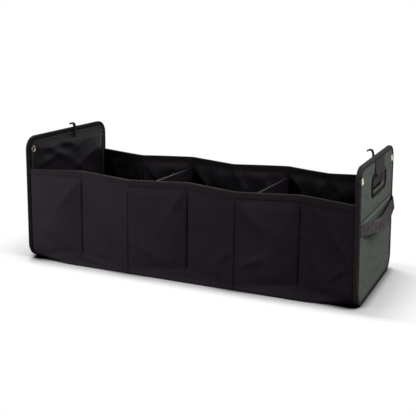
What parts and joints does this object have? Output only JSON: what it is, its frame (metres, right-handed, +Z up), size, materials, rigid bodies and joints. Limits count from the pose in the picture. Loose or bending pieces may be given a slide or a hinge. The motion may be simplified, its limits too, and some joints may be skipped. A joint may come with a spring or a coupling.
{
  "type": "car trunk organizer",
  "caption": "Long folding cloth trunk organizer with pleated stiffened walls, open compartments, tall bound end panels, hand holes, eyelets and carry straps.",
  "frame": {"origin": "middle of the underside of the base, on the surface the organizer stands on", "axes": "+X along the length towards the right end panel, +Y to the back wall, +Z up"},
  "size_m": [0.8435, 0.3404, 0.3084],
  "materials": {
    "ribbed_cloth": "finely ribbed grey-green upholstery cloth, matte",
    "wall_cloth": "black plain-weave polyester, matte with a soft sheen",
    "lining_cloth": "black plain-weave polyester, matte",
    "binding_tape": "ribbed dark brown binding tape",
    "hem_tape": "black binding tape",
    "webbing": "dark brown woven webbing",
    "grip_cloth": "smooth dark grey cloth band",
    "eyelet_metal": "pale brass, polished",
    "stiffener": "plain stiff board, hidden inside the cloth"
  },
  "bodies": {
    "root": {"left_panel_board": "stiffener", "left_panel_cover_lower": "ribbed_cloth", "left_panel_cover_upper": "ribbed_cloth", "left_panel_lining": "lining_cloth", "left_panel_edge_binding": "binding_tape", "left_panel_hand_hole_rim": "binding_tape", "left_panel_grip_band": "grip_cloth", "left_panel_eyelet_front": "eyelet_metal", "left_panel_eyelet_back": "eyelet_metal", "left_panel_carry_strap": "webbing", "left_panel_closure_tab": "webbing", "right_panel_board": "stiffener", "right_panel_cover_lower": "ribbed_cloth", "right_panel_cover_upper": "ribbed_cloth", "right_panel_lining": "lining_cloth", "right_panel_edge_binding": "binding_tape", "right_panel_hand_hole_rim": "binding_tape", "right_panel_grip_band": "grip_cloth", "right_panel_eyelet_front": "eyelet_metal", "right_panel_eyelet_back": "eyelet_metal", "right_panel_carry_strap": "webbing", "right_panel_closure_tab": "webbing", "front_wall_cloth": "wall_cloth", "front_wall_lining": "lining_cloth", "front_wall_top_binding": "hem_tape", "front_wall_board_1": "stiffener", "front_wall_board_2": "stiffener", "front_wall_board_3": "stiffener", "front_wall_board_4": "stiffener", "front_wall_board_5": "stiffener", "front_wall_board_6": "stiffener", "back_wall_cloth": "wall_cloth", "back_wall_lining": "lining_cloth", "back_wall_top_binding": "hem_tape", "back_wall_board_1": "stiffener", "back_wall_board_2": "stiffener", "back_wall_board_3": "stiffener", "back_wall_board_4": "stiffener", "back_wall_board_5": "stiffener", "back_wall_board_6": "stiffener", "divider_1_board": "stiffener", "divider_1_sleeve": "lining_cloth", "divider_2_board": "stiffener", "divider_2_sleeve": "lining_cloth", "base_cloth": "wall_cloth", "base_board_1": "stiffener", "base_board_2": "stiffener", "base_board_3": "stiffener", "base_board_4": "stiffener", "base_board_5": "stiffener", "base_board_6": "stiffener", "floor_lining": "lining_cloth"}
  },
  "joints": []
}
